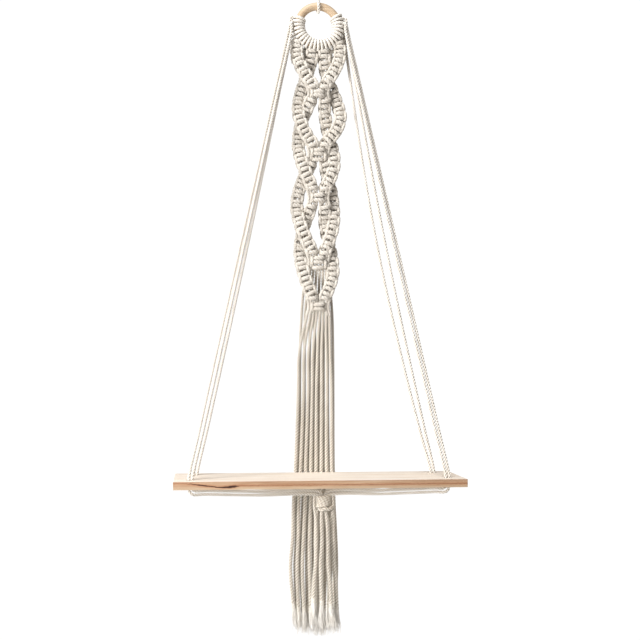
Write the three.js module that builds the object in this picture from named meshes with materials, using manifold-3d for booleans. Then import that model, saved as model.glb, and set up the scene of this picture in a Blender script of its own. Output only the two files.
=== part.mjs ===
// Macrame wall shelf: a wooden ring, a braid of knotted cotton sinnets, and a board slung on side cords.
//
// Millimetres, +Z up. The origin is the top of the hanging loop. The wall is the plane y = wallY, and
// the shelf stands out from it towards -Y. `fall` is a distance below the origin, and `depth` is a
// distance in front of the wall.
import * as THREE from 'three';
import { LoftGeometry } from 'three/addons/geometries/LoftGeometry.js';
import { mergeVertices } from 'three/addons/utils/BufferGeometryUtils.js';
import Module from 'manifold-3d';

const cordDiameter = 5;
const gap = 0.3; // between pieces that touch

const ringOuter = 76;
const ringThickness = 12.5;
const ringFall = 51; // the ring's centre
const ringDepth = 14;
const wallY = ringDepth; // the ring's centre plane passes through the origin

const boardLength = 432;
const boardDepth = 135;
const boardThickness = 12;
const boardFall = 762; // its top face
const boardWallGap = 13; // the hanging strands pass behind the board
const boardShift = -7.5; // its middle stands a little to the left of the ring
const holeDiameter = 12;
const holes = {
  front: { reach: 191.2, depth: 122 }, // reach is the distance from the board's middle
  back: { reach: 184.5, depth: 42 },
};

const sinnetWidth = 20.4;
const sinnetThickness = 13.6;
const knotPitch = 16.4; // along a sinnet, one square knot
const layerBack = 7.3; // depth of the middle of a sinnet that passes behind
const layerFront = 20.6; // and of one that passes in front
const jointReach = 9.9; // half the distance between two sinnets that are knotted together
const touching = 6; // they run side by side for this long above the knot

// The stretches of the two pairs of sinnets, from joint to joint. A stretch swings out and back, by the
// reach that `left` and `right` give, and the joint at its end is `knotted` mm long. A late value above
// 1 puts the widest place low in the stretch, on the left or on the right.
const outerPair = [
  { from: 32, start: 74, to: 154, left: 35, right: 35, lateLeft: 1.05, lateRight: 1.05,
    depth: ringDepth, knotted: 14 },
  { from: 168, start: 168, to: 318, left: 31.5, right: 25, lateLeft: 1, lateRight: 1.95,
    depth: layerBack, knotted: 20 },
  { from: 338, start: 338, to: 492, left: 28.5, right: 23, lateLeft: 1.05, lateRight: 1.85,
    depth: layerBack, knotted: 18 },
];
const innerPair = [
  { from: 100, start: 88, to: 248, left: 32, right: 35, lateLeft: 1.4, lateRight: 1.8,
    depth: layerBack, knotted: 22 },
  { from: 270, start: 270, to: 420, left: 33.5, right: 25.5, lateLeft: 1, lateRight: 1.2,
    depth: layerBack, knotted: 22 },
];

const strandsPerPair = 8;
const strandHalf = cordDiameter * 0.62; // half the diagonal of a four-sided strand
const strandTip = 996; // mean fall of the fringe's ends
const tipSpread = 9;

// The ring's knots cover it from one bare end of the wood to the other, round the bottom.
const knotRow = { from: 156, to: 392, ribs: 24 };

const tieFall = 792.5; // the top of the gathering knot
const tieDepth = 80;
const tieHeight = 26;
const tieDiameter = 27;
const tieTurns = 4;
const tieX = 1;
const tasselTip = 989;

const cotton = { color: 0xece4d6, roughness: 0.95, metalness: 0 };
const paleWood = { color: 0xe2bd90, roughness: 0.6, metalness: 0 };
const boardWood = { color: 0xdcb48c, roughness: 0.65, metalness: 0 };

const wasm = await Module();
wasm.setup();

function solidOf(geometry) {
  geometry.deleteAttribute('normal').deleteAttribute('uv');
  const merged = mergeVertices(geometry, 1e-4);
  return new wasm.Manifold(new wasm.Mesh({
    numProp: 3,
    vertProperties: merged.attributes.position.array,
    triVerts: new Uint32Array(merged.index.array),
  }));
}

function geometryOf(solid) {
  const mesh = solid.getMesh();
  const geometry = new THREE.BufferGeometry();
  geometry.setAttribute('position', new THREE.BufferAttribute(mesh.vertProperties, 3));
  geometry.setIndex(new THREE.BufferAttribute(mesh.triVerts, 1));
  geometry.computeVertexNormals();
  return geometry;
}

function part(name, geometry, finish) {
  const mesh = new THREE.Mesh(geometry, new THREE.MeshStandardMaterial(finish));
  mesh.name = name;
  return mesh;
}

function place(x, depth, fall) {
  return new THREE.Vector3(x, wallY - depth, -fall);
}

function smooth(value, low, high) {
  return THREE.MathUtils.smoothstep(value, low, high);
}

// A repeatable small offset between -1 and 1 for the irregular lay of strand `index`.
function waver(index, wave = 1) {
  return Math.sin(index * 12.9898 * wave + wave * 4.1);
}

// A closed bar through `points`, with an elliptical section of `sides` corners. sizeAt(i) gives the
// section's half-width and half-thickness at point i; `across` is never parallel to the bar.
function bar(points, sizeAt, sides, across = new THREE.Vector3(0, 1, 0), looped = false) {
  const last = points.length - 1;
  const sections = points.map((point, i) => {
    const before = points[looped ? (i + last) % (last + 1) : Math.max(i - 1, 0)];
    const after = points[looped ? (i + 1) % (last + 1) : Math.min(i + 1, last)];
    const along = after.clone().sub(before).normalize();
    const side = across.clone().cross(along).normalize();
    const front = along.clone().cross(side);
    const [halfWidth, halfThickness] = sizeAt(i);
    return Array.from({ length: sides }, (_, k) => {
      const angle = (k + 0.5) / sides * Math.PI * 2;
      return point.clone()
        .addScaledVector(side, Math.cos(angle) * halfWidth)
        .addScaledVector(front, Math.sin(angle) * halfThickness);
    });
  });
  const loft = looped
    ? new LoftGeometry([...sections, sections[0]])
    : new LoftGeometry(sections, { capStart: true, capEnd: true });
  return new THREE.BufferGeometry().copy(loft);
}

function cord(points, sides, across) {
  return bar(points, () => [cordDiameter / 2, cordDiameter / 2], sides, across);
}

// Points at even steps along a stretch of a smooth curve through a few hand-set points.
function curved(points, steps) {
  return new THREE.CatmullRomCurve3(points, false, 'centripetal').getSpacedPoints(steps);
}

function ringTorus(thickness) {
  const centreLine = (ringOuter - ringThickness) / 2;
  const torus = new THREE.TorusGeometry(centreLine, thickness / 2, 14, 44);
  torus.rotateX(Math.PI / 2);
  torus.translate(0, 0, -ringFall);
  return torus;
}

function boardGeometry() {
  const bevel = 0.8;
  const half = { x: boardLength / 2 - bevel, y: boardDepth / 2 - bevel };
  const outline = new THREE.Shape();
  outline.moveTo(-half.x, -half.y);
  outline.lineTo(half.x, -half.y);
  outline.lineTo(half.x, half.y);
  outline.lineTo(-half.x, half.y);
  outline.closePath();
  const middleDepth = boardWallGap + boardDepth / 2;
  for (const side of [-1, 1]) {
    for (const { reach, depth } of Object.values(holes)) {
      const hole = new THREE.Path();
      hole.absarc(side * reach, middleDepth - depth, holeDiameter / 2 + bevel, 0, Math.PI * 2, true);
      outline.holes.push(hole);
    }
  }
  const board = new THREE.ExtrudeGeometry(outline, {
    depth: boardThickness - 2 * bevel,
    bevelEnabled: true,
    bevelThickness: bevel,
    bevelSize: bevel,
    bevelSegments: 1,
    curveSegments: 8,
  });
  board.translate(boardShift, wallY - middleDepth, -boardFall - boardThickness + bevel);
  return board;
}

// The loop runs through the ring, up both sides of its bare top, and together above it.
function hangingLoopGeometry() {
  const ringTop = ringFall - (ringOuter - ringThickness) / 2;
  const low = ringThickness / 2 + gap + cordDiameter / 2;
  const high = cordDiameter * 0.9;
  const topCentre = cordDiameter / 2 + high;
  const points = [];
  for (let step = 0; step < 12; step += 1) {
    const angle = -Math.PI + step / 11 * Math.PI;
    points.push(new THREE.Vector3(0, Math.cos(angle) * low, -ringTop + Math.sin(angle) * low));
  }
  for (let step = 0; step < 7; step += 1) {
    const angle = step / 6 * Math.PI;
    points.push(new THREE.Vector3(0, Math.cos(angle) * high, -topCentre + Math.sin(angle) * high));
  }
  const half = cordDiameter / 2;
  return bar(points, () => [half, half], 8, new THREE.Vector3(1, 0, 0), true);
}

// The row of knots on the ring: a ridged sleeve with one rib for each cord that passes over the wood.
function knotRowGeometry() {
  const centreLine = (ringOuter - ringThickness) / 2;
  const full = ringThickness / 2 + cordDiameter;
  const steps = knotRow.ribs * 2;
  const points = [];
  for (let step = 0; step <= steps; step += 1) {
    const angle = THREE.MathUtils.degToRad(knotRow.from + (knotRow.to - knotRow.from) * step / steps);
    points.push(new THREE.Vector3(
      Math.cos(angle) * centreLine, 0, -ringFall + Math.sin(angle) * centreLine));
  }
  return bar(points, (i) => (i % 2 ? [full, full] : [full - 1, full - 1]), 10);
}

// The middle line of one sinnet, down all its stretches; side is -1 on the left and 1 on the right.
function sinnetPath(stretches, side) {
  const path = [];
  for (const s of stretches) {
    const bulge = side < 0 ? s.left : s.right;
    const late = side < 0 ? s.lateLeft : s.lateRight;
    for (let fall = s.start; fall < s.to; fall += 3) {
      const t = THREE.MathUtils.clamp((fall - s.from) / (s.to - touching - s.from), 0, 1);
      const reach = jointReach + (bulge - jointReach) * Math.sin(Math.PI * t ** late);
      const entry = s.start === s.from ? layerFront - 2 : ringDepth;
      const inner = THREE.MathUtils.lerp(entry, s.depth, smooth(t, 0, 0.22));
      const depth = THREE.MathUtils.lerp(inner, layerFront, smooth(t, 0.45, 0.8));
      path.push(place(side * reach, depth, fall));
    }
    path.push(place(side * jointReach, layerFront, s.to));
    path.push(place(side * jointReach, layerFront - 2, s.to + s.knotted * 0.7));
  }
  return new THREE.CatmullRomCurve3(path, false, 'centripetal');
}

// A sinnet swells at the middle of each square knot and draws in between two of them.
function sinnetGeometry(stretches, side) {
  const path = sinnetPath(stretches, side);
  const knots = Math.round(path.getLength() / knotPitch);
  const points = path.getSpacedPoints(knots * 2);
  const wide = [sinnetWidth / 2, sinnetThickness / 2];
  const narrow = [sinnetWidth / 2 - 1.1, sinnetThickness / 2 - 0.9];
  return bar(points, (i) => (i % 2 ? wide : narrow), 10);
}

// The square knot that ties two sinnets together, in front of them both.
function jointKnotGeometry(stretch) {
  const middle = stretch.to + stretch.knotted * 0.45;
  const half = stretch.knotted * 0.45;
  const points = [-1, -0.45, 0, 0.45, 1].map((t) => place(0, layerFront, middle + half * t));
  const widths = [6, 9.5, 8.5, 9.5, 6];
  const halfThickness = sinnetThickness / 2 + 1;
  return bar(points, (i) => [widths[i], halfThickness - (widths[i] < 7 ? 2 : 0)], 8);
}

// One hanging strand: from its root in the last joint, behind the board, to its own length.
function strandGeometry(row, column) {
  const index = row * strandsPerPair + column;
  const even = column - (strandsPerPair - 1) / 2;
  const lastStretch = row === 0 ? outerPair.at(-1) : innerPair.at(-1);
  const rootFall = lastStretch.to + lastStretch.knotted * 0.5;
  const wallDepth = row === 0 ? 9.6 : 3.7;
  const spread = -6.5 + even * 8 + (row === 0 ? 0 : 4) + waver(index) * 0.6;
  const tip = strandTip + waver(index, 2) * tipSpread;
  const points = curved([
    place(even * 4.8, row === 0 ? 15 : 13, rootFall),
    place(even * 6.2 - 2, row === 0 ? 12.5 : 6.2, rootFall + 35),
    place(even * 7.4 - 3.2 + waver(index, 3), row === 0 ? 10.5 : 4.2, rootFall + 110),
    place(spread, wallDepth, boardFall - 10),
    place(spread * 1.12 + waver(index, 4) * 0.6, wallDepth, boardFall + 70),
    place(spread * 1.22 + waver(index, 6) * 0.8, wallDepth, boardFall + 140),
    place(spread * 1.1 + waver(index, 5) * 2, wallDepth, tip),
  ], row === 0 ? 9 : 11);
  return bar(points, () => [strandHalf, strandHalf], 4);
}

function panelGeometry() {
  const bars = [knotRowGeometry()];
  for (const stretches of [outerPair, innerPair]) {
    for (const side of [-1, 1]) bars.push(sinnetGeometry(stretches, side));
    for (const stretch of stretches) bars.push(jointKnotGeometry(stretch));
  }
  for (const row of [0, 1]) {
    for (let column = 0; column < strandsPerPair; column += 1) bars.push(strandGeometry(row, column));
  }
  const joined = bars.map(solidOf).reduce((whole, next) => whole.add(next));
  return geometryOf(joined.subtract(solidOf(ringTorus(ringThickness + 2 * gap))));
}

// The four cords of a side, from front to back. Each leaves the ring's knots at `angle` above the
// horizontal through the ring's centre. The two cords of a hole lie one before the other at the ring and
// side by side at the board, the outer one farther from the middle. `slack` is how far a run bows in.
const pairDepths = { front: 19.9, back: 8.5 };
const sideCords = [
  { angle: 4, hole: 'front', ahead: 1, outward: -1, slackLeft: 0, slackRight: 0 },
  { angle: 16, hole: 'front', ahead: -1, outward: 1, slackLeft: 0, slackRight: 0 },
  { angle: 10, hole: 'back', ahead: 1, outward: 1, slackLeft: 0, slackRight: 6.5 },
  { angle: -4, hole: 'back', ahead: -1, outward: -1, slackLeft: 2, slackRight: 13.5 },
];

function sideCordGeometry(side, { angle, hole, ahead, outward, slackLeft, slackRight }) {
  const half = (cordDiameter + gap) / 2;
  const slack = side < 0 ? slackLeft : slackRight;
  const tube = ringThickness / 2 + cordDiameter * 1.5 + gap;
  const depth = pairDepths[hole] + ahead * half;
  const away = (ringOuter - ringThickness) / 2 + Math.sqrt(tube ** 2 - (depth - ringDepth) ** 2);
  const turn = THREE.MathUtils.degToRad(angle);
  const startFall = ringFall - Math.sin(turn) * away;
  const start = place(side * Math.cos(turn) * away, depth, startFall);
  const top = place(side * (away + 0.4), pairDepths[hole], startFall + 12);
  const holeDepth = holes[hole].depth;
  const mouth = place(side * holes[hole].reach + boardShift, holeDepth, boardFall - 1);
  const run = [0, 0.15, 0.3, 0.45, 0.6, 0.75, 0.9, 1].map((t) => {
    const point = top.clone().lerp(mouth, t);
    const turned = t * Math.PI / 2;
    point.x += side * (outward * half * Math.sin(turned) - slack * Math.sin(Math.PI * t));
    point.y -= ahead * half * Math.cos(turned);
    return point;
  });
  const inHole = run.at(-1).x;
  const lower = outward > 0 ? 2 * half : 0;
  const exit = place(inHole, holeDepth, boardFall + boardThickness - 0.5);
  const bend = place(inHole - side * (2.5 + lower * 0.4), holeDepth,
    boardFall + boardThickness + half + gap / 2 + lower);
  const tie = place(tieX + side * 7, tieDepth + (hole === 'front' ? 5 : -5),
    tieFall - half - 2 * half + lower);
  const below = [0, 0.1, 0.5, 1].map((t) => bend.clone().lerp(tie, t));
  return cord([start, ...run, exit, ...below], 6);
}

// The gathering knot, ridged by its turns, with the cords' ends spreading out below it.
function tasselGeometry() {
  const profile = [new THREE.Vector2(0, 0)];
  const turnHeight = tieHeight / tieTurns;
  for (let turn = 0; turn < tieTurns; turn += 1) {
    const low = turn * turnHeight;
    profile.push(new THREE.Vector2(tieDiameter / 2 - 1.6, low));
    profile.push(new THREE.Vector2(tieDiameter / 2, low + turnHeight * 0.3));
    profile.push(new THREE.Vector2(tieDiameter / 2, low + turnHeight * 0.7));
  }
  profile.push(new THREE.Vector2(tieDiameter / 2 - 2, tieHeight));
  profile.push(new THREE.Vector2(0, tieHeight));
  const knot = new THREE.LatheGeometry(profile, 14);
  knot.rotateX(Math.PI / 2);
  const seat = place(tieX, tieDepth, tieFall + tieHeight);
  knot.translate(seat.x, seat.y, seat.z);
  let tassel = solidOf(knot);
  for (let end = 0; end < 8; end += 1) {
    const angle = (end + 0.5) / 8 * Math.PI * 2;
    const aside = Math.cos(angle);
    const forward = Math.sin(angle);
    const root = tieFall + tieHeight;
    const tip = tasselTip + waver(end, 2) * 5;
    const points = curved([
      place(tieX + aside * 8, tieDepth + forward * 8, root - 6),
      place(tieX + 1 + aside * 12, tieDepth + forward * 9.5, root + 40),
      place(tieX + 2.5 + aside * 17.5, tieDepth + forward * 10.5, root + 100),
      place(tieX + 3 + aside * 20, tieDepth + forward * 12, tip),
    ], 7);
    tassel = tassel.add(solidOf(bar(points, () => [strandHalf, strandHalf], 4)));
  }
  return geometryOf(tassel);
}

const shelf = new THREE.Group();
shelf.add(part('ring', ringTorus(ringThickness), paleWood));
shelf.add(part('hanging_loop', hangingLoopGeometry(), cotton));
shelf.add(part('macrame_panel', panelGeometry(), cotton));
shelf.add(part('board', boardGeometry(), boardWood));
for (const [side, sideName] of [[-1, 'left'], [1, 'right']]) {
  sideCords.forEach((row, i) => {
    shelf.add(part(`side_cord_${sideName}_${i + 1}`, sideCordGeometry(side, row), cotton));
  });
}
shelf.add(part('tassel', tasselGeometry(), cotton));

export default shelf;
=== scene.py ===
import math
import random

import bpy
import numpy as np
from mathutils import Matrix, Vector
from mathutils.geometry import interpolate_bezier


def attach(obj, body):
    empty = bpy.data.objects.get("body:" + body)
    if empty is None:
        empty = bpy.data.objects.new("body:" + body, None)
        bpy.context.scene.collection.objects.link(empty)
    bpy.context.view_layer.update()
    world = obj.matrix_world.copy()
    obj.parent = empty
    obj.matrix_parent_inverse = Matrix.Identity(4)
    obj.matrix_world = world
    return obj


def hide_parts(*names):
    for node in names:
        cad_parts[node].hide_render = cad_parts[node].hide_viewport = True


# Macrame wall shelf. Sizes in the dictionaries are millimetres. A place is given as x, its depth in
# front of the wall, and its fall below the top of the hanging loop.
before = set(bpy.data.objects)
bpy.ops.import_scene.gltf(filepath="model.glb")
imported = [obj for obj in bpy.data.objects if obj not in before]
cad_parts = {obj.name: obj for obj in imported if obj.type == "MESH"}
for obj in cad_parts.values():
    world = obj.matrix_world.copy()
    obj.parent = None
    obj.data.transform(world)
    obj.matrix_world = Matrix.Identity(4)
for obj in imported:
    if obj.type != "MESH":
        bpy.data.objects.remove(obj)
bpy.ops.object.select_all(action="DESELECT")
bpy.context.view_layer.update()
print("frame loaded")

wallLine = 14  # the wall stands this far behind the hanging loop


def place(x, depth, fall):
    return Vector((x, wallLine - depth, -fall)) * 0.001


def blendTo(low, high, t):
    return low + (high - low) * t


def ease(value, low, high):
    t = min(max((value - low) / (high - low), 0), 1)
    return t * t * (3 - 2 * t)


def waver(index, wave=1):
    # an uneven number from -1 to 1, always the same for the same index and wave
    return math.sin(index * 12.9898 * wave + wave * 4.1)


def pick(thing):
    bpy.ops.object.select_all(action="DESELECT")
    thing.select_set(True)
    bpy.context.view_layer.objects.active = thing
    return thing


def pickAll(things):
    bpy.ops.object.select_all(action="DESELECT")
    for thing in things:
        thing.select_set(True)
    bpy.context.view_layer.objects.active = things[0]


# camera, light and floor
viewSpec = {"place": (-0.18204, -1.78096, -0.59952), "pitch": 0.0432, "yaw": -0.1035, "lens": 63.64}
bpy.ops.object.camera_add(
    location=viewSpec["place"],
    rotation=(math.pi / 2 + viewSpec["pitch"], 0, viewSpec["yaw"]),
)
camera = bpy.context.object
camera.data.lens = viewSpec["lens"]
camera.data.sensor_width = 36
bpy.context.scene.camera = camera

lightSpec = {
    "key": {"place": (-2.1, -1.6, -0.28), "aim": (0, 0, -0.5), "size": 0.7, "power": 73,
            "tone": (1, 0.99, 0.975)},
    "top": {"place": (-0.6, -0.9, 2.3), "aim": (0, -0.05, -0.7), "size": 1.2, "power": 72,
            "tone": (1, 0.995, 0.985)},
    "fill": {"place": (1.6, -2.0, -0.4), "aim": (0, 0, -0.5), "size": 2.0, "power": 5,
             "tone": (1, 0.98, 0.95)},
}
for lightName, spec in lightSpec.items():
    bpy.ops.object.light_add(type="AREA", location=spec["place"])
    lamp = bpy.context.object
    lamp.name = lightName + "Light"
    lamp.data.size = spec["size"]
    lamp.data.energy = spec["power"]
    lamp.data.color = spec["tone"]
    reach = Vector(spec["aim"]) - Vector(spec["place"])
    lamp.rotation_euler = reach.to_track_quat("-Z", "Y").to_euler()


skySpec = {"around": 0.27, "backdrop": 1.06, "tone": (1, 0.955, 0.91, 1)}


def makeSky():
    # a dim warm room lights the shelf, and the backdrop that is seen behind it is white
    world = bpy.context.scene.world or bpy.data.worlds.new("studio")
    bpy.context.scene.world = world
    world.use_nodes = True
    tree = world.node_tree
    tree.nodes.clear()
    rays = tree.nodes.new("ShaderNodeLightPath")
    room = tree.nodes.new("ShaderNodeBackground")
    room.inputs["Color"].default_value = skySpec["tone"]
    room.inputs["Strength"].default_value = skySpec["around"]
    backdrop = tree.nodes.new("ShaderNodeBackground")
    backdrop.inputs["Color"].default_value = (1, 1, 1, 1)
    backdrop.inputs["Strength"].default_value = skySpec["backdrop"]
    both = tree.nodes.new("ShaderNodeMixShader")
    out = tree.nodes.new("ShaderNodeOutputWorld")
    tree.links.new(rays.outputs["Is Camera Ray"], both.inputs[0])
    tree.links.new(room.outputs[0], both.inputs[1])
    tree.links.new(backdrop.outputs[0], both.inputs[2])
    tree.links.new(both.outputs[0], out.inputs["Surface"])


makeSky()
bpy.context.scene.view_settings.view_transform = "Standard"

floorSpec = {"fall": 1600, "size": 4.0}
bpy.ops.mesh.primitive_plane_add(size=floorSpec["size"], location=(0, 0, -floorSpec["fall"] * 0.001))
floor = bpy.context.object
floor.name = "floor"
print("camera, light and floor set")


# materials
def tone(red, green, blue):
    # a colour picked on screen, 0 to 255, as the shader wants it
    def straight(value):
        value /= 255
        return value / 12.92 if value <= 0.04045 else ((value + 0.055) / 1.055) ** 2.4
    return (straight(red), straight(green), straight(blue), 1)


class Shade:
    # a small bench for wiring one material
    def __init__(self, name, roughness):
        self.material = bpy.data.materials.new(name)
        self.material.use_nodes = True
        self.tree = self.material.node_tree
        self.surface = self.tree.nodes["Principled BSDF"]
        self.surface.inputs["Roughness"].default_value = roughness
        self.coords = self.tree.nodes.new("ShaderNodeTexCoord")

    def join(self, start, end):
        self.tree.links.new(start, end)

    def mapped(self, output, scale):
        node = self.tree.nodes.new("ShaderNodeMapping")
        node.inputs["Scale"].default_value = scale
        self.join(self.coords.outputs[output], node.inputs["Vector"])
        return node.outputs["Vector"]

    def noise(self, vector, scale, detail=3, rough=0.5, distortion=0.0):
        node = self.tree.nodes.new("ShaderNodeTexNoise")
        node.inputs["Scale"].default_value = scale
        node.inputs["Detail"].default_value = detail
        node.inputs["Roughness"].default_value = rough
        node.inputs["Distortion"].default_value = distortion
        self.join(vector, node.inputs["Vector"])
        return node.outputs["Fac"]

    def ramp(self, value, stops):
        node = self.tree.nodes.new("ShaderNodeValToRGB")
        marks = node.color_ramp.elements
        while len(marks) < len(stops):
            marks.new(0.5)
        for mark, (spot, colour) in zip(marks, stops):
            mark.position = spot
            mark.color = colour
        self.join(value, node.inputs["Fac"])
        return node.outputs["Color"]

    def mix(self, factor, first, second, how="MIX"):
        node = self.tree.nodes.new("ShaderNodeMix")
        node.data_type = "RGBA"
        node.blend_type = how
        for socket, value in zip((node.inputs[0], node.inputs[6], node.inputs[7]), (factor, first, second)):
            if hasattr(value, "is_linked"):
                self.join(value, socket)
            else:
                socket.default_value = value
        return node.outputs[2]

    def span(self, value, low, high, newLow=0.0, newHigh=1.0):
        node = self.tree.nodes.new("ShaderNodeMapRange")
        node.inputs["From Min"].default_value = low
        node.inputs["From Max"].default_value = high
        node.inputs["To Min"].default_value = newLow
        node.inputs["To Max"].default_value = newHigh
        self.join(value, node.inputs["Value"])
        return node.outputs["Result"]

    def sum(self, first, second, how="ADD"):
        node = self.tree.nodes.new("ShaderNodeMath")
        node.operation = how
        for socket, value in zip(node.inputs, (first, second)):
            if hasattr(value, "is_linked"):
                self.join(value, socket)
            else:
                socket.default_value = value
        return node.outputs[0]

    def raised(self, height, strength, distance):
        node = self.tree.nodes.new("ShaderNodeBump")
        node.inputs["Strength"].default_value = strength
        node.inputs["Distance"].default_value = distance
        self.join(height, node.inputs["Height"])
        self.join(node.outputs["Normal"], self.surface.inputs["Normal"])


cordRound = 0.0157  # once round a cord, in metres, as its own map has it


# how strongly the painted shade in the seams between the plies shows, how wide it is as a share of a ply,
# and the duller and the brighter tone of the white. The white is one cotton throughout; its copies are
# painted lighter or darker for how much light each part gets, the opened ends lightest.
cottonSpec = {
    "cottonCord": {"seam": 1.0, "seamWide": 0.26, "white": ((225, 220, 210), (239, 235, 226))},
    "tautCotton": {"seam": 1.0, "seamWide": 0.2, "white": ((236, 232, 224), (250, 247, 242))},
    "knottedCotton": {"seam": 0.3, "seamWide": 0.18, "white": ((212, 206, 197), (226, 222, 215))},
    "ringRowCotton": {"seam": 0.3, "seamWide": 0.18, "white": ((232, 228, 221), (246, 243, 237))},
    "openedCotton": {"seam": 0.0, "seamWide": 0.18, "white": ((240, 236, 229), (252, 250, 247))},
}


def makeCotton(name):
    # the cord's own map runs round it and along it, both in metres
    spec = cottonSpec[name]
    cotton = Shade(name, 0.92)
    cotton.surface.inputs["Sheen Weight"].default_value = 0.2
    cotton.surface.inputs["Sheen Roughness"].default_value = 0.5
    cotton.surface.inputs["Specular IOR Level"].default_value = 0.12
    fibres = cotton.noise(cotton.mapped("UV", (2600, 420, 1)), 1, 4, 0.6)
    patches = cotton.noise(cotton.mapped("Object", (1, 1, 1)), 45, 3, 0.6)
    flecks = cotton.noise(cotton.mapped("Object", (1, 1, 1)), 700, 2, 0.5)
    body = cotton.ramp(patches, ((0.3, tone(*spec["white"][0])), (0.7, tone(*spec["white"][1]))))
    fluff = cotton.ramp(fibres, ((0.3, tone(196, 186, 174)), (0.62, tone(255, 255, 255))))
    body = cotton.mix(0.35, body, fluff, "MULTIPLY")
    seed = cotton.ramp(flecks, ((0.66, tone(255, 255, 255)), (0.74, tone(206, 186, 158))))
    body = cotton.mix(0.5, body, seed, "MULTIPLY")
    # painted shade: the seams between the three plies are darker and warmer, as the shade that falls into
    # them
    axes = cotton.tree.nodes.new("ShaderNodeSeparateXYZ")
    cotton.join(cotton.mapped("UV", (3 / cordRound, 1, 1)), axes.inputs[0])
    turn = cotton.sum(axes.outputs["X"], 0, "FRACT")
    fromCrown = cotton.sum(cotton.sum(turn, 0.5, "SUBTRACT"), 0, "ABSOLUTE")
    seam = cotton.span(fromCrown, 0.5 - spec["seamWide"], 0.5, 0, spec["seam"])
    body = cotton.mix(seam, body, cotton.mix(1.0, body, tone(152, 124, 98), "MULTIPLY"))
    cotton.join(body, cotton.surface.inputs["Base Color"])
    cotton.raised(fibres, 0.5, 0.0004)
    return cotton.material


def makeRingWood():
    wood = Shade("ringWood", 0.5)
    grain = wood.noise(wood.mapped("Object", (60, 60, 900)), 1, 5, 0.6, 0.4)
    pores = wood.noise(wood.mapped("Object", (500, 500, 5000)), 1, 2, 0.5)
    body = wood.ramp(grain, (
        (0.3, tone(180, 154, 124)),
        (0.52, tone(204, 180, 150)),
        (0.72, tone(218, 198, 172)),
    ))
    pits = wood.ramp(pores, ((0.35, tone(170, 124, 82)), (0.5, tone(255, 255, 255))))
    body = wood.mix(0.25, body, pits, "MULTIPLY")
    wood.join(body, wood.surface.inputs["Base Color"])
    wood.raised(pores, 0.2, 0.0002)
    return wood.material


boardSpec = {
    "length": 432, "width": 135, "thickness": 12, "fall": 762, "wallGap": 13, "shift": -7.5,
    "hole": 12, "rounding": 0.9,
    # a split in the front edge: x, how far below the top edge, and half its width
    "split": (
        (-208, 2.2, 0.1), (-196, 3.3, 0.5), (-187, 4.5, 0.7), (-181, 5.4, 1.1), (-174, 6.2, 0.7),
        (-160, 8.0, 0.8), (-152, 8.5, 0.9), (-143, 8.0, 1.6), (-135, 7.2, 1.5), (-127, 6.2, 0.2),
    ),
}


def makeBoardWood():
    # pale faces and a darker edge on the front, picked by which way a face points, with a split at its left
    wood = Shade("boardWood", 0.62)
    long = wood.mapped("Object", (4, 60, 60))
    grain = wood.noise(long, 1.4, 5, 0.62, 0.6)
    fine = wood.noise(wood.mapped("Object", (30, 900, 900)), 1, 3, 0.5)
    face = wood.ramp(grain, (
        (0.32, tone(244, 228, 210)),
        (0.5, tone(250, 239, 226)),
        (0.7, tone(253, 246, 237)),
    ))
    edge = wood.ramp(grain, (
        (0.3, tone(166, 130, 102)),
        (0.5, tone(184, 151, 122)),
        (0.7, tone(198, 170, 142)),
    ))
    axes = wood.tree.nodes.new("ShaderNodeSeparateXYZ")
    wood.join(wood.coords.outputs["Normal"], axes.inputs[0])
    towardFront = wood.span(axes.outputs["Y"], -0.35, -0.8)
    places = wood.tree.nodes.new("ShaderNodeSeparateXYZ")
    wood.join(wood.coords.outputs["Object"], places.inputs[0])
    top = -boardSpec["fall"] * 0.001
    thick = boardSpec["thickness"]
    below = wood.span(places.outputs["Z"], top, top - thick * 0.001, 0, thick)  # mm below the top edge
    edge = wood.mix(wood.span(below, 6.5, 10.5, 0, 0.4), edge, tone(210, 193, 166))
    edge = wood.mix(wood.span(below, 1.7, 0.5, 0, 0.5), edge, tone(146, 104, 80))
    body = wood.mix(towardFront, face, edge)
    streaks = wood.ramp(fine, ((0.36, tone(190, 158, 124)), (0.55, tone(255, 255, 255))))
    body = wood.mix(0.3, body, streaks, "MULTIPLY")
    # the ramp holds the split's height and half width along the edge. The split is not cut into the wood:
    # its dark line is painted shade of the gap.
    low, high = boardSpec["split"][0][0], boardSpec["split"][-1][0]
    along = wood.span(places.outputs["X"], low * 0.001, high * 0.001)
    shape = wood.ramp(along, [((x - low) / (high - low), (down / thick, half / thick, 0, 1))
                              for x, down, half in boardSpec["split"]])
    parts = wood.tree.nodes.new("ShaderNodeSeparateColor")
    wood.join(shape, parts.inputs[0])
    ragged = wood.span(wood.noise(wood.mapped("Object", (1, 1, 1)), 260, 2), 0.3, 0.7, -0.5, 0.5)
    middle = wood.sum(wood.sum(parts.outputs[0], thick, "MULTIPLY"), ragged)
    away = wood.sum(wood.sum(below, middle, "SUBTRACT"), 0, "ABSOLUTE")
    inside = wood.sum(wood.sum(parts.outputs[1], thick, "MULTIPLY"), away, "SUBTRACT")
    # a softer brown rim round the split
    splitRim = wood.sum(wood.span(inside, -2.6, 0.2, 0, 0.55), towardFront, "MULTIPLY")
    split = wood.sum(wood.span(inside, -0.3, 0.3), towardFront, "MULTIPLY")
    body = wood.mix(splitRim, body, tone(170, 104, 58))
    body = wood.mix(split, body, tone(58, 28, 14))
    wood.join(body, wood.surface.inputs["Base Color"])
    wood.raised(fine, 0.25, 0.0003)
    return wood.material


def makeFloor():
    paint = Shade("paleFloor", 0.8)
    cloudy = paint.noise(paint.mapped("Object", (1, 1, 1)), 3, 2)
    paint.join(paint.ramp(cloudy, ((0.3, tone(244, 244, 243)), (0.7, tone(248, 248, 247)))),
               paint.surface.inputs["Base Color"])
    return paint.material


# painted light and shade: copies of one white cotton, lighter or darker for how much light each part gets
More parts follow.
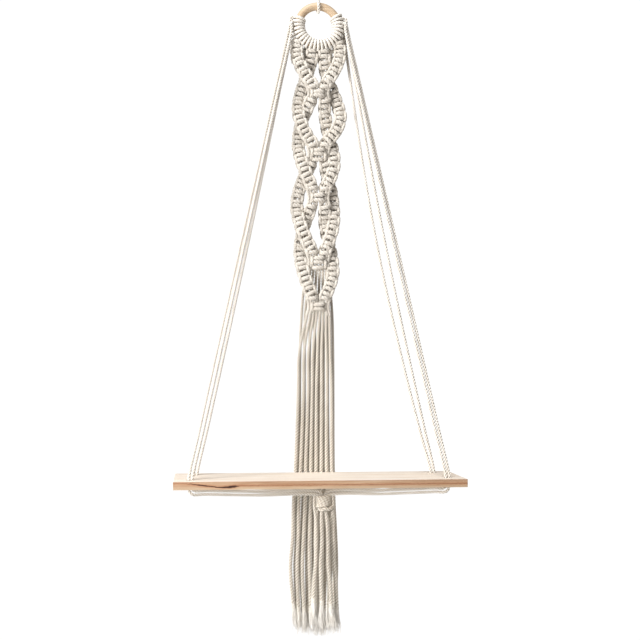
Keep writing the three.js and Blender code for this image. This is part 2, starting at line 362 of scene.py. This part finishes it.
cordLook = makeCotton("cottonCord")
sideLook = makeCotton("tautCotton")
knotLook = makeCotton("knottedCotton")
rowLook = makeCotton("ringRowCotton")
fluffLook = makeCotton("openedCotton")
ringLook = makeRingWood()
boardLook = makeBoardWood()
floor.data.materials.append(makeFloor())
print("materials made")


# cord work
cordSpec = {
    "diameter": 5.0,
    "lay": 14.0,   # one turn of its three plies
    "step": 1.6,   # between two cross sections
    "swells": 30,  # a cut end opens over this length
    # shares of the cord's radius
    "plyReach": 0.536,     # from the middle of the cord to the middle of a ply
    "plyRadius": 0.464,
    "hollow": 0.4,         # from the middle to the seam between two plies
    "knottedHollow": 0.8,  # the same where the cord is pulled tight in a knot
}


def makePlyOutline(hollow):
    # three round plies side by side, drawn clockwise so that a cord's faces point outwards
    outline = bpy.data.curves.new("plyOutline", "CURVE")
    outline.dimensions = "2D"
    reach, radius = cordSpec["plyReach"], cordSpec["plyRadius"]
    corners = []
    for ply in range(3):
        middle = ply * math.tau / 3
        for turn in (-1.15, 0, 1.15):
            corners.append((reach * math.cos(middle) + radius * math.cos(middle + turn),
                            reach * math.sin(middle) + radius * math.sin(middle + turn)))
        seam = middle + math.tau / 6
        corners.append((hollow * math.cos(seam), hollow * math.sin(seam)))
    corners.reverse()
    spline = outline.splines.new("POLY")
    spline.points.add(len(corners) - 1)
    for point, (x, y) in zip(spline.points, corners):
        point.co = (x * 0.001, y * 0.001, 0, 1)
    spline.use_cyclic_u = True
    thing = bpy.data.objects.new("plyOutline", outline)
    bpy.context.collection.objects.link(thing)
    return thing


freeOutline = makePlyOutline(cordSpec["hollow"])
knottedOutline = makePlyOutline(cordSpec["knottedHollow"])


def smoothRun(knots, step=cordSpec["step"], girths=None):
    # an even row of points on a smooth curve through the knots, and the girth at each if girths are given
    knots = [Vector(knot) for knot in knots]
    spans = [max((b - a).length, 1e-7) ** 0.5 for a, b in zip(knots, knots[1:])]
    slopes = []
    for i, knot in enumerate(knots):
        if i == 0:
            slopes.append((knots[1] - knot) / spans[0])
        elif i == len(knots) - 1:
            slopes.append((knot - knots[-2]) / spans[-1])
        else:
            back, on = spans[i - 1], spans[i]
            slope = (knot - knots[i - 1]) / back * on + (knots[i + 1] - knot) / on * back
            slopes.append(slope / (back + on))
    dense = [knots[0]]
    marks = [0]
    for i, span in enumerate(spans):
        a, b = knots[i], knots[i + 1]
        parts = int((b - a).length / (step * 0.001)) + 3
        dense += interpolate_bezier(a, a + slopes[i] * span / 3, b - slopes[i + 1] * span / 3, b, parts)[1:]
        marks.append(len(dense) - 1)
    dense = np.array(dense)
    far = np.concatenate([[0], np.cumsum(np.linalg.norm(np.diff(dense, axis=0), axis=1))])
    wanted = np.linspace(0, far[-1], max(3, round(far[-1] / (step * 0.001)) + 1))
    even = np.stack([np.interp(wanted, far, dense[:, axis]) for axis in range(3)], axis=1)
    return even if girths is None else (even, np.interp(wanted, far[marks], girths))


cordCount = 0
cordTotal = 0.0


def layCord(points, radius=None, opening=0.0, outline=None, lay=cordSpec["lay"]):
    # one twisted cord along a row of points. radius is mm, one number or one for each point, opening is
    # how much a cut end swells, and each cord starts at its own turn of the twist
    global cordCount, cordTotal
    cordCount += 1
    count = len(points)
    thick = np.zeros(count) + (cordSpec["diameter"] / 2 if radius is None else radius)
    points[:, 1] = np.minimum(points[:, 1], (wallLine - thick) * 0.001)  # it stays in front of the wall
    gaps = np.linalg.norm(np.diff(points, axis=0), axis=1)
    along = np.concatenate([[0], np.cumsum(gaps)])
    cordTotal += along[-1]
    if opening:
        toEnd = (along[-1] - along) * 1000 / cordSpec["swells"]
        thick = thick * (1 + opening * np.clip(1 - toEnd, 0, 1) ** 2)
    line = bpy.data.curves.new("cordLine", "CURVE")
    line.dimensions = "3D"
    line.twist_mode = "MINIMUM"
    line.bevel_mode = "OBJECT"
    line.bevel_object = outline or freeOutline
    line.use_fill_caps = True
    spline = line.splines.new("POLY")
    spline.points.add(count - 1)
    spline.points.foreach_set("co", np.column_stack([points, np.ones(count)]).ravel())
    spline.points.foreach_set("tilt", along / (lay * 0.001) * math.tau + cordCount * 0.7)
    spline.points.foreach_set("radius", thick)
    thing = bpy.data.objects.new("cordRun", line)
    bpy.context.collection.objects.link(thing)
    pick(thing)
    bpy.ops.object.convert(target="MESH")
    thing = bpy.context.object
    corners = thing.data.uv_layers[0].data
    spots = np.empty(len(corners) * 2, dtype=np.float32)
    corners.foreach_get("uv", spots)
    spots = spots.reshape(-1, 2)
    spots = np.column_stack([spots[:, 1] * cordRound, spots[:, 0] * along[-1] + cordCount * 0.37])
    corners.foreach_set("uv", spots.astype(np.float32).ravel())
    return thing


def bindCords(runs, name, *nodes, look=cordLook):
    # joins the runs into one piece, welds their ends shut and gives it to the frame
    pickAll(runs)
    if len(runs) > 1:
        bpy.ops.object.join()
    piece = bpy.context.object
    piece.name = name
    piece.data.name = name
    bpy.ops.object.mode_set(mode="EDIT")
    bpy.ops.mesh.select_all(action="SELECT")
    bpy.ops.mesh.remove_doubles(threshold=0.000002)
    bpy.ops.object.mode_set(mode="OBJECT")
    bpy.ops.object.shade_smooth()
    piece.data.materials.clear()
    piece.data.materials.append(look)
    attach(piece, "root")
    if nodes:
        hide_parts(*nodes)
    print(name, len(piece.data.polygons), "faces")
    return piece


# wooden ring
ringSpec = {"outer": 76, "thickness": 12.5, "fall": 51, "depth": 14}
ringLine = (ringSpec["outer"] - ringSpec["thickness"]) / 2
bpy.ops.mesh.primitive_torus_add(
    location=place(0, ringSpec["depth"], ringSpec["fall"]), rotation=(math.pi / 2, 0, 0),
    major_radius=ringLine * 0.001, minor_radius=ringSpec["thickness"] * 0.0005,
    major_segments=96, minor_segments=32,
)
ring = bpy.context.object
ring.name = "wooden_ring"
bpy.ops.object.transform_apply(location=True, rotation=True, scale=True)
bpy.ops.object.shade_smooth()
ring.data.materials.append(ringLook)
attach(ring, "root")
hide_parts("ring")
print("ring made")

# ring knots: reverse lark's heads, two ribs each with a bar behind
knotRowSpec = {
    "from": 156, "to": 392,  # degrees round the ring
    "ribs": 24,
    "wrap": 9.05,            # from the middle of the wood to the middle of a rib
    "barReach": 13.2, "leg": 17, "shortLeg": 13,
    "overWood": (-30, -8, 20, 50, 80, 110, 140, 170, 200, 230, 255),  # degrees round the wood
}


def ringPoint(angle, turn, reach):
    # angle goes round the ring, turn goes round its wood: 0 outwards, 90 front, 180 into the hole
    angle, turn = math.radians(angle), math.radians(turn)
    away = ringLine + math.cos(turn) * reach
    return place(math.cos(angle) * away, ringSpec["depth"] + math.sin(turn) * reach,
                 ringSpec["fall"] - math.sin(angle) * away)


def ringKnot(first, second, legLength):
    # over the wood at the first rib, along the bar behind, and back over the wood at the second
    turns = knotRowSpec["overWood"]
    knots = []
    for rib, ribTurns in ((first, turns), (second, turns[::-1])):
        part = [ringPoint(rib, turn, knotRowSpec["wrap"]) for turn in ribTurns]
        toMiddle = blendTo(first, second, 0.5)
        bar = ringPoint(blendTo(rib, toMiddle, 0.35), 282, knotRowSpec["barReach"])
        leg = ringPoint(rib, -38, legLength)
        knots += [leg] + part + [bar] if rib == first else [bar] + part + [leg]
    return smoothRun(knots)


ribStep = (knotRowSpec["to"] - knotRowSpec["from"]) / knotRowSpec["ribs"]
ringCords = []
# four cords run from the ring's knots down between the sinnets
legSpec = {"angles": (228, 240, 300, 312), "start": 80, "end": 124, "depth": 8, "girth": 2.6}
for number, angle in enumerate(legSpec["angles"]):
    above = ringPoint(angle, -20, 12)
    side = 1 if angle > 270 else -1
    inner = number in (1, 2)
    ringCords.append(layCord(smoothRun([
        above,
        place(side * (21.5 - 2 * inner), legSpec["depth"] + 2, legSpec["start"] + 14),
        place(side * (23.5 + inner), legSpec["depth"], legSpec["start"] + 28),
        place(side * (22 + 3 * inner), legSpec["depth"] - 1, legSpec["end"]),
    ]), legSpec["girth"], outline=knottedOutline))
pairCount = knotRowSpec["ribs"] // 2
for pair in range(pairCount):
    firstRib = knotRowSpec["from"] + (pair * 2 + 0.5) * ribStep
    longLeg = 2 <= pair < pairCount - 2
    run = ringKnot(firstRib, firstRib + ribStep, knotRowSpec["leg" if longLeg else "shortLeg"])
    # the ribs are squeezed together where they go through the hole of the ring
    offset = run - np.array(place(0, ringSpec["depth"], ringSpec["fall"]))
    fromMiddle = np.hypot(offset[:, 0], offset[:, 2]) * 1000
    squeezed = np.minimum(cordSpec["diameter"] / 2, fromMiddle * math.radians(ribStep) / 2 * 1.03)
    ringCords.append(layCord(run, squeezed, outline=knottedOutline))

# sinnets: square knots over two filler cords
# A stretch leaves the ring or a joint, bows out to its reach on each side and comes in to the next joint,
# which is knotted for a length of its own. A late value over 1 puts the bow lower down.
outerPair = [
    {"from": 32, "start": 74, "to": 154, "left": 35, "right": 35, "lateLeft": 1.05, "lateRight": 1.05,
     "depth": 14, "knotted": 14},
    {"from": 168, "start": 168, "to": 318, "left": 31.5, "right": 25, "lateLeft": 1, "lateRight": 1.95,
     "depth": 7.3, "knotted": 20},
    {"from": 338, "start": 338, "to": 492, "left": 28.5, "right": 23, "lateLeft": 1.05, "lateRight": 1.85,
     "depth": 7.3, "knotted": 18},
]
innerPair = [
    {"from": 100, "start": 88, "to": 248, "left": 32, "right": 35, "lateLeft": 1.4, "lateRight": 1.8,
     "depth": 7.3, "knotted": 22},
    {"from": 270, "start": 270, "to": 420, "left": 33.5, "right": 25.5, "lateLeft": 1, "lateRight": 1.2,
     "depth": 7.3, "knotted": 22},
]
sinnetSpec = {
    "ringDepth": 14,      # of the middle line at the ring
    "frontDepth": 20.6,   # and at a joint
    "jointReach": 9.9,    # from x = 0 to the middle line at a joint
    "touching": 6,        # two sinnets run side by side for this long above a joint
    "pitch": 8.2,         # from one half knot to the next
    "pairing": 0.5,       # the two half knots of a square knot sit this much closer
    "leadIn": 0.6,        # a working cord comes in this far before its first half knot, in pitches
    "edge": 6.0,          # from the middle line to where it comes in
    "filler": 3.0,        # and to a filler cord
    "fillerGirth": 0.95,
    "fillerOut": -0.6,
    "uneven": 0.35,
}
# One half knot of a working cord. It comes round one edge, crosses over the fillers, and rounds the
# other edge to its bump on the far face. along is in half knots.
halfKnot = [
    {"across": 5.7, "out": 2.6, "along": 0.09, "girth": 1.25},
    {"across": 3.7, "out": 4.7, "along": 0.03, "girth": 1.5},
    {"across": -3.7, "out": 4.7, "along": -0.03, "girth": 1.5},
    {"across": -5.7, "out": 2.6, "along": -0.09, "girth": 1.25},
    {"across": -6.5, "out": -0.6, "along": -0.28, "girth": 1.1},
    {"across": -7.4, "out": -3.6, "along": -0.1, "girth": 1.1},
    {"across": -7.7, "out": -4.8, "along": 0.2, "girth": 1.12},
    {"across": -7.7, "out": -4.8, "along": 0.8, "girth": 1.12},
    {"across": -7.4, "out": -3.6, "along": 1.1, "girth": 1.1},
    {"across": -6.5, "out": -0.6, "along": 1.28, "girth": 1.1},
]


def stretchLine(stretch, side):
    # the middle line of one side of a stretch
    reachOut = stretch["left"] if side < 0 else stretch["right"]
    late = stretch["lateLeft"] if side < 0 else stretch["lateRight"]
    front, jointReach = sinnetSpec["frontDepth"], sinnetSpec["jointReach"]
    entry = front - 2 if stretch["start"] == stretch["from"] else sinnetSpec["ringDepth"]
    bowLength = stretch["to"] - sinnetSpec["touching"] - stretch["from"]
    points = []
    for fall in np.arange(stretch["start"], stretch["to"], 3):
        t = min(max((fall - stretch["from"]) / bowLength, 0), 1)
        reach = jointReach + (reachOut - jointReach) * math.sin(math.pi * t ** late)
        inner = blendTo(entry, stretch["depth"], ease(t, 0, 0.22))
        points.append(place(side * reach, blendTo(inner, front, ease(t, 0.45, 0.8)), fall))
    points.append(place(side * jointReach, front, stretch["to"]))
    return smoothRun(points, 1)


class KnotLine:
    # measures along a middle line, with its own across and outward directions
    def __init__(self, line):
        self.line = line
        self.step = float(np.linalg.norm(line[1] - line[0])) * 1000
        self.length = self.step * (len(line) - 1)

    def spot(self, along, across, out):
        at = along / self.step
        low = int(min(max(math.floor(at), 0), len(self.line) - 2))
        here = Vector(self.line[low]) + Vector(self.line[low + 1] - self.line[low]) * (at - low)
        # the way down is taken over a few points, so that it turns evenly
        before = self.line[max(low - 3, 0)]
        after = self.line[min(low + 4, len(self.line) - 1)]
        down = Vector(after - before).normalized()
        front = Vector((0, -1, 0))
        front = (front - down * front.dot(down)).normalized()
        return here + (front.cross(down) * across + front * out) * 0.001


def knotAlong(line, halves, pitch, widen=1.0):
    # the runs of one sinnet: the cord that crosses in front, the one that crosses behind, two fillers
    runs = []
    leadIn = sinnetSpec["leadIn"]
    first = (line.length - (halves - 1) * pitch) / 2

    def barAt(value):
        return first + pitch * value + sinnetSpec["pairing"] * math.cos(math.pi * value)

    for face in (1, -1):
        knots, girths = [], []
        for half in range(halves):
            edge = (1 if half % 2 else -1) * face
            if half == 0:
                knots.append(line.spot(barAt(-leadIn), edge * sinnetSpec["edge"], 0))
                girths.append(1)
            slack = [chance.uniform(-1, 1) * sinnetSpec["uneven"] for _ in range(3)]
            for i, turn in enumerate(halfKnot):
                crossing = i < 4
                if half == halves - 1 and i > 4:
                    break
                knots.append(line.spot(
                    barAt(half + turn["along"]) + slack[0] * (2 if crossing else 1),
                    edge * turn["across"] * widen + slack[1],
                    face * (turn["out"] + (slack[2] if crossing else 0)),
                ))
                girths.append(turn["girth"])
            if half == halves - 1:
                knots.append(line.spot(barAt(half + leadIn), -edge * sinnetSpec["edge"], 0))
                girths.append(1)
        runs.append(smoothRun(knots, girths=girths))
    for side in (-1, 1):
        steps = max(3, int(line.length / 12))
        knots = []
        for i in range(steps + 1):
            along = barAt(-leadIn) + (line.length + pitch * leadIn * 0.5) * i / steps
            across = side * sinnetSpec["filler"] + chance.uniform(-0.15, 0.15)
            knots.append(line.spot(along, across, sinnetSpec["fillerOut"]))
        runs.append(smoothRun(knots, cordSpec["step"] * 1.2, [sinnetSpec["fillerGirth"]] * len(knots)))
    return runs


def layKnots(line, halves, pitch, widen=1.0):
    return [layCord(run, girth * cordSpec["diameter"] / 2, outline=knottedOutline)
            for run, girth in knotAlong(line, halves, pitch, widen)]


chance = random.Random(11)
pairSpecs = {"outer": outerPair, "inner": innerPair}
for pairName, pairStretches in pairSpecs.items():
    for side, sideName in ((-1, "left"), (1, "right")):
        cords = []
        for stretch in pairStretches:
            line = KnotLine(stretchLine(stretch, side))
            halves = round(line.length / sinnetSpec["pitch"])
            cords += layKnots(line, halves, line.length / halves)
        bindCords(cords, f"{pairName}_sinnet_{sideName}", "macrame_panel", look=knotLook)

# joints: the four inner cords of a pair are knotted together, the outer four run straight past
jointSpec = {"widen": 1.35, "past": (14.6, 18.8), "drawnIn": 3.4, "overlap": 5, "girth": 2.8}
jointCords = []
for pairStretches in (outerPair, innerPair):
    for stretch in pairStretches:
        top, tall = stretch["to"], stretch["knotted"]
        front = sinnetSpec["frontDepth"]
        line = KnotLine(smoothRun([
            place(0, front, top),
            place(0, front - 1, top + tall * 0.5),
            place(0, front - 2, top + tall),
        ], 1))
        halves = max(2, round(tall / sinnetSpec["pitch"]))
        pitch = min(sinnetSpec["pitch"], tall / halves)
        jointCords += layKnots(line, halves, pitch, jointSpec["widen"])
        for side in (-1, 1):
            for reach in jointSpec["past"]:
                knots = []
                for i in range(7):
                    along = blendTo(-jointSpec["overlap"], tall + jointSpec["overlap"], i / 6)
                    drawnIn = jointSpec["drawnIn"] * math.sin(math.pi * i / 6)
                    knots.append(line.spot(along, side * (reach - drawnIn), chance.uniform(-0.3, 0.3)))
                jointCords.append(layCord(smoothRun(knots), jointSpec["girth"], outline=knottedOutline))
bindCords(ringCords, "ring_knots", "macrame_panel", look=rowLook)
bindCords(jointCords, "joint_knots", "macrame_panel", look=knotLook)
print("sinnets and joints made")

# hanging strands behind the board
strandSpec = {
    "perPair": 8,
    "tip": 986,
    "spread": 4,      # how far the tips differ
    "sway": 0.9,
    "offset": 3.7,    # the back row hangs this far to the right of the front row
    "swell": 0.15,    # how much a cut end opens
    "loosened": 3.3,  # the radius where the twist has opened
}
strandRows = [
    {"name": "front", "from": outerPair[-1], "depths": (18, 16.5, 12.5, 11.5, 10.5), "wall": 9.6},
    {"name": "back", "from": innerPair[-1], "depths": (17, 14, 6.2, 5, 4.2), "wall": 3.9},
]
# The way down from the joint, with one of the row's depths for each line: from strand to strand, the shift
# to the left, the share of the offset, the wave that sways it, and how far it is below the joint.
strandStart = [
    {"pitch": 4.9, "left": 0, "offset": 0, "wave": 0, "below": 0},
    {"pitch": 5.2, "left": 0.5, "offset": 0, "wave": 0, "below": 12},
    {"pitch": 6.2, "left": 2, "offset": 0.5, "wave": 0, "below": 38},
    {"pitch": 7.2, "left": 3, "offset": 1, "wave": 7, "below": 74},
    {"pitch": 7.4, "left": 3.2, "offset": 1, "wave": 3, "below": 120},
]
# And past the board: how wide the row is, the wave, how much it sways, and how far it is below the top of
# the board.
strandFall = [
    {"wide": 1, "wave": 0, "sway": 0, "below": -10},
    {"wide": 1.08, "wave": 4, "sway": 1, "below": 50},
    {"wide": 1.14, "wave": 4, "sway": -0.6, "below": 100},
    {"wide": 1.22, "wave": 6, "sway": 1, "below": 150},
]


def loosening(run, top, full):
    # a hanging strand's radius grows as its twist opens, from fall top to fall full
    falls = -run[:, 2] * 1000
    tight = cordSpec["diameter"] / 2
    return tight + (strandSpec["loosened"] - tight) * np.clip((falls - top) / (full - top), 0, 1)


tips = []
for row, rowSpec in enumerate(strandRows):
    strandCords = []
    root = rowSpec["from"]["to"] + rowSpec["from"]["knotted"] - 3
    boardTop = boardSpec["fall"]
    sway = strandSpec["sway"]
    beside = (row - 0.5) * strandSpec["offset"]  # the back row fills the gaps of the front row
    for column in range(strandSpec["perPair"]):
        index = row * strandSpec["perPair"] + column
        even = column - (strandSpec["perPair"] - 1) / 2
        spread = -6.5 + even * 8 + 4 * row + waver(index) * 0.8
        tip = strandSpec["tip"] - 15 * (even / 3.5) ** 2 + waver(index, 2) * strandSpec["spread"]
        knots = []
        for depth, point in zip(rowSpec["depths"], strandStart):
            x = even * point["pitch"] - point["left"] + beside * point["offset"]
            knots.append(place(x + waver(index, point["wave"]) * sway, depth, root + point["below"]))
        for point in strandFall:
            x = spread * point["wide"] + waver(index, point["wave"]) * sway * point["sway"]
            knots.append(place(x, rowSpec["wall"], boardTop + point["below"]))
        knots.append(place(spread * 1.1 + waver(index, 5) * sway, rowSpec["wall"], tip))
        run = smoothRun(knots)
        thick = loosening(run, root + 60, boardTop + 20)
        strandCords.append(layCord(run, thick, opening=strandSpec["swell"]))
        tips.append((run[-1], run[-1] - run[-4]))
    bindCords(strandCords, f"hanging_strands_{rowSpec['name']}", "macrame_panel")
print("strands hung")

# side cords, down through the board and in to the gathering knot
holes = {"front": {"reach": 191.2, "depth": 122}, "back": {"reach": 184.5, "depth": 42}}
tieSpec = {
    "x": 1, "depth": 80, "fall": 792.5, "height": 26,
    "reach": 11.4, "wrap": 18, "turns": 5.6, "girth": 2.35,  # the cord wound round it
    "tuckGirth": 2.9,  # its end, tucked across the front: x, ahead and down from the tie
    "tuck": ((-8, 11, 17), (-3, 13, 19.2), (1, 14, 16.6), (6, 13.6, 18), (11, 10.5, 17), (12.5, 3, 14)),
}
sideSpec = {
    "half": 2.65,   # half of the way between two cords of a pair
    "tube": 14.05,  # from the middle of the ring's wood to a cord that leaves it
    "depths": {"front": 19.9, "back": 8.5},  # of the pairs at the ring
}
sideCords = [
    {"angle": 4, "hole": "front", "ahead": 1, "outward": -1, "slack": {-1: 0, 1: 0}},
    {"angle": 16, "hole": "front", "ahead": -1, "outward": 1, "slack": {-1: 0, 1: 0}},
    {"angle": 10, "hole": "back", "ahead": 1, "outward": 1, "slack": {-1: 0, 1: 6.5}},
    {"angle": -4, "hole": "back", "ahead": -1, "outward": -1, "slack": {-1: 2, 1: 13.5}},
]


def sideRun(side, spec):
    # from the ring's knots down through a hole, under the board and up into the gathering knot
    half = sideSpec["half"]
    hole = holes[spec["hole"]]
    pairDepth = sideSpec["depths"][spec["hole"]]
    depth = pairDepth + spec["ahead"] * half
    away = ringLine + math.sqrt(sideSpec["tube"] ** 2 - (depth - ringSpec["depth"]) ** 2)
    turn = math.radians(spec["angle"])
    startFall = ringSpec["fall"] - math.sin(turn) * away
    # it starts among the ring's knots
    tucked = place(side * math.cos(turn) * (away - 6), depth * 0.6 + 5.6, startFall - 1)
    knots = [tucked, place(side * math.cos(turn) * away, depth, startFall)]
    top = Vector((side * (away + 0.4), pairDepth, startFall + 12))
    mouth = Vector((side * hole["reach"] + boardSpec["shift"], hole["depth"], boardSpec["fall"] - 1))
    for t in (0, 0.15, 0.3, 0.45, 0.6, 0.75, 0.9, 1):
        # the two cords of a pair start one before the other and end side by side
        x, deep, fall = top.lerp(mouth, t)
        turned = t * math.pi / 2
        sag = spec["slack"][side] * math.sin(math.pi * t)
        x += side * (spec["outward"] * half * math.sin(turned) - sag)
        knots.append(place(x, deep + spec["ahead"] * half * math.cos(turned), fall))
    inHole = x
    fromFront = 1 if spec["hole"] == "front" else -1
    lower = 2 * half if spec["outward"] > 0 else 0  # under the board one cord of a pair lies on the other
    bottom = boardSpec["fall"] + boardSpec["thickness"]
    knots.append(place(inHole, hole["depth"], bottom - 0.5))
    bend = Vector((inHole - side * (2.5 + lower * 0.4), hole["depth"], bottom + half + 0.6 + lower))
    tie = Vector((tieSpec["x"] + side * 4.5, tieSpec["depth"] + fromFront * 5,
                  tieSpec["fall"] - 3 * half + 2 + lower))
    for t in (0, 0.1, 0.5, 1):
        knots.append(place(*bend.lerp(tie, t)))
    knots.append(place(tieSpec["x"] + side * 2.8, tieSpec["depth"] + fromFront * 4, tieSpec["fall"] + 7))
    return smoothRun(knots)


for side, sideName in ((-1, "left"), (1, "right")):
    for number, spec in enumerate(sideCords, 1):
        node = f"side_cord_{sideName}_{number}"
        bindCords([layCord(sideRun(side, spec))], f"side_run_{sideName}_{number}", node, look=sideLook)
print("side cords laid")

# gathering knot and tassel
tieRun = []
wrapSteps = int(tieSpec["turns"] * 12)
for step in range(wrapSteps + 1):
    t = step / wrapSteps
    angle = t * tieSpec["turns"] * math.tau + 2.2
    reach = tieSpec["reach"] + 0.4 * math.sin(angle * 2.3)
    if step < 4 or step > wrapSteps - 4:
        reach -= 5  # both ends go in under the wraps
    tieRun.append(place(tieSpec["x"] + math.cos(angle) * reach, tieSpec["depth"] + math.sin(angle) * reach,
                        tieSpec["fall"] - 4 + t * tieSpec["wrap"] + 1.5 * math.sin(angle - 0.5)))
tuckRun = [place(tieSpec["x"] + x, tieSpec["depth"] + ahead, tieSpec["fall"] + down)
           for x, ahead, down in tieSpec["tuck"]]
tasselCords = [
    layCord(smoothRun(tieRun), tieSpec["girth"], outline=knottedOutline),
    layCord(smoothRun(tuckRun), tieSpec["tuckGirth"], outline=knottedOutline),
]
tasselSpec = {"ends": 8, "tip": 957, "spread": 6, "sway": 1.2, "swell": 0.2, "bundle": 5, "overWraps": 15.6}
# The way of an end below the knot: the shift to the right, the reach to the side, what the two outside
# ones reach more, the sway, the reach ahead, and how far down.
tasselFall = [
    {"right": 0.5, "across": 11, "outside": 2, "sway": 0, "ahead": 9.5, "below": 8},
    {"right": 1, "across": 12, "outside": 0, "sway": 1, "ahead": 9.5, "below": 40},
    {"right": 2, "across": 15, "outside": 0, "sway": -1, "ahead": 10, "below": 75},
    {"right": 2.5, "across": 17.5, "outside": 0, "sway": 0, "ahead": 10.5, "below": 100},
]
for end in range(tasselSpec["ends"]):
    angle = (end + 0.5) / tasselSpec["ends"] * math.tau
    aside, forward = math.cos(angle), math.sin(angle)
    root = tieSpec["fall"] + tieSpec["height"]
    tip = tasselSpec["tip"] + waver(end, 2) * tasselSpec["spread"]
    outside = end in (0, 3)  # the two that run down over the wraps, one at each edge
    hold = tasselSpec["overWraps" if outside else "bundle"]
    sway = waver(end, 3) * tasselSpec["sway"]
    knots = [
        place(tieSpec["x"] + aside * (hold - 1), tieSpec["depth"] + forward * (hold - 1),
              tieSpec["fall"] + (-5 if outside else 2)),
        place(tieSpec["x"] + aside * hold, tieSpec["depth"] + forward * hold, root - 14),
    ]
    for point in tasselFall:
        across = aside * (point["across"] + point["outside"] * outside) + sway * point["sway"]
        knots.append(place(tieSpec["x"] + point["right"] + across,
                           tieSpec["depth"] + forward * point["ahead"], root + point["below"]))
    knots.append(place(tieSpec["x"] + 3 + aside * 18.5 + sway, tieSpec["depth"] + forward * 11.5, tip))
    run = smoothRun(knots)
    thick = loosening(run, root - 10, root + 50)
    tasselCords.append(layCord(run, thick, opening=tasselSpec["swell"]))
    tips.append((run[-1], run[-1] - run[-4]))
bindCords(tasselCords, "gathering_knot_and_ends", "tassel")
print("tassel made")

# frayed ends
fraySpec = {
    "fibres": 60,  # on each end
    "long": 37, "thick": 0.42,
    "open": 0.13,  # how far they spread
    "lean": 0.12,  # how far an end leans to one side
    "wave": 3,
    "brush": 24, "brushWide": 3.8,  # the soft middle of an end
    "wall": 13.4,  # no fibre goes further back than this
}
fluffLine = bpy.data.curves.new("frayedEnds", "CURVE")
fluffLine.dimensions = "3D"
fluffLine.bevel_depth = fraySpec["thick"] * 0.001
fluffLine.bevel_resolution = 0
fluffLine.use_fill_caps = True
chance = random.Random(5)
brushes = []
for end, heading in tips:
    heading = Vector(heading).normalized()
    lean = Vector((chance.uniform(-1, 1), chance.uniform(-1, 1), 0)) * fraySpec["lean"]
    # the soft middle of the end, which the loose fibres stand round
    middle = smoothRun([Vector(end) + heading * reach * 0.001 + lean * (reach * 0.0008)
                        for reach in (-8, 4, 14, fraySpec["brush"])])
    middle[:, 1] = np.minimum(middle[:, 1], (fraySpec["wall"] - fraySpec["brushWide"]) * 0.001)
    spread = np.interp(np.linspace(0, 1, len(middle)), (0, 0.4, 0.8, 1), (2.6, 3.5, 3.6, 2.0))
    brushes.append(layCord(middle, spread, outline=knottedOutline, lay=90))
    for fibre in range(fraySpec["fibres"]):
        angle = chance.uniform(0, math.tau)
        out = math.sqrt(chance.uniform(0, 1))
        aside = Vector((math.cos(angle), math.sin(angle), 0)) * out
        reach = fraySpec["long"] * chance.uniform(0.55, 1.1) * 0.001
        wave = chance.uniform(-1, 1) * fraySpec["wave"] * 0.001
        spline = fluffLine.splines.new("POLY")
        spline.points.add(5)
        for step, point in enumerate(spline.points):
            t = step / 5
            at = (Vector(end) - heading * 0.005 + aside * 0.0026 + heading * reach * t
                  + (aside * fraySpec["open"] * reach + lean * reach) * t ** 1.3
                  + Vector((-aside.y, aside.x, 0)) * wave * math.sin(t * 5))
            at.y = min(at.y, fraySpec["wall"] * 0.001)
            point.co = (*at, 1)
            point.radius = 1.1 - 0.75 * t
fluff = bpy.data.objects.new("frayedEnds", fluffLine)
bpy.context.collection.objects.link(fluff)
pick(fluff)
bpy.ops.object.convert(target="MESH")
bindCords([bpy.context.object] + brushes, "frayed_ends", "macrame_panel", "tassel", look=fluffLook)

# hanging loop: round under the ring's bare top, and over the hook
loopSpec = {"ringBend": 9.05, "hookBend": 4.5, "hookFall": 7, "girth": 2.75}
ringTop = ringSpec["fall"] - ringLine
loopKnots = []
for steps, start, bend, fall in ((12, -math.pi, loopSpec["ringBend"], ringTop),
                                 (7, 0, loopSpec["hookBend"], loopSpec["hookFall"])):
    for step in range(steps):
        angle = start + step / (steps - 1) * math.pi
        loopKnots.append(Vector((0, math.cos(angle) * bend, -fall + math.sin(angle) * bend)) * 0.001)
loopKnots = loopKnots[3:] + loopKnots[:5]  # its ends lie over each other behind the ring
bindCords([layCord(smoothRun(loopKnots), loopSpec["girth"])], "loop_cord", "hanging_loop", look=sideLook)

# board
bpy.ops.mesh.primitive_cube_add(
    size=1, location=place(boardSpec["shift"], boardSpec["wallGap"] + boardSpec["width"] / 2,
                           boardSpec["fall"] + boardSpec["thickness"] / 2),
    scale=(boardSpec["length"] * 0.001, boardSpec["width"] * 0.001, boardSpec["thickness"] * 0.001),
)
board = bpy.context.object
board.name = "shelf_board"
bpy.ops.object.transform_apply(location=True, rotation=True, scale=True)
bpy.ops.object.mode_set(mode="EDIT")
bpy.ops.mesh.select_all(action="SELECT")
bpy.ops.mesh.bevel(offset=boardSpec["rounding"] * 0.001, segments=3, profile=0.6)
bpy.ops.object.mode_set(mode="OBJECT")
for side in (-1, 1):
    for hole in holes.values():
        bpy.ops.mesh.primitive_cylinder_add(
            vertices=40, radius=boardSpec["hole"] * 0.0005, depth=0.03,
            location=place(boardSpec["shift"] + side * hole["reach"], hole["depth"],
                           boardSpec["fall"] + boardSpec["thickness"] / 2))
        drill = bpy.context.object
        pick(board)
        cut = board.modifiers.new("hole", "BOOLEAN")
        cut.object = drill
        cut.operation = "DIFFERENCE"
        bpy.ops.object.modifier_apply(modifier=cut.name)
        bpy.data.objects.remove(drill)
pick(board)
bpy.ops.object.shade_smooth_by_angle(angle=math.radians(35))
board.data.materials.clear()
board.data.materials.append(boardLook)
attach(board, "root")
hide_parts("board")
print("board made")

for outline in (freeOutline, knottedOutline):
    bpy.data.objects.remove(outline)
print("cord laid in all:", round(cordTotal, 2), "m in", cordCount, "runs")
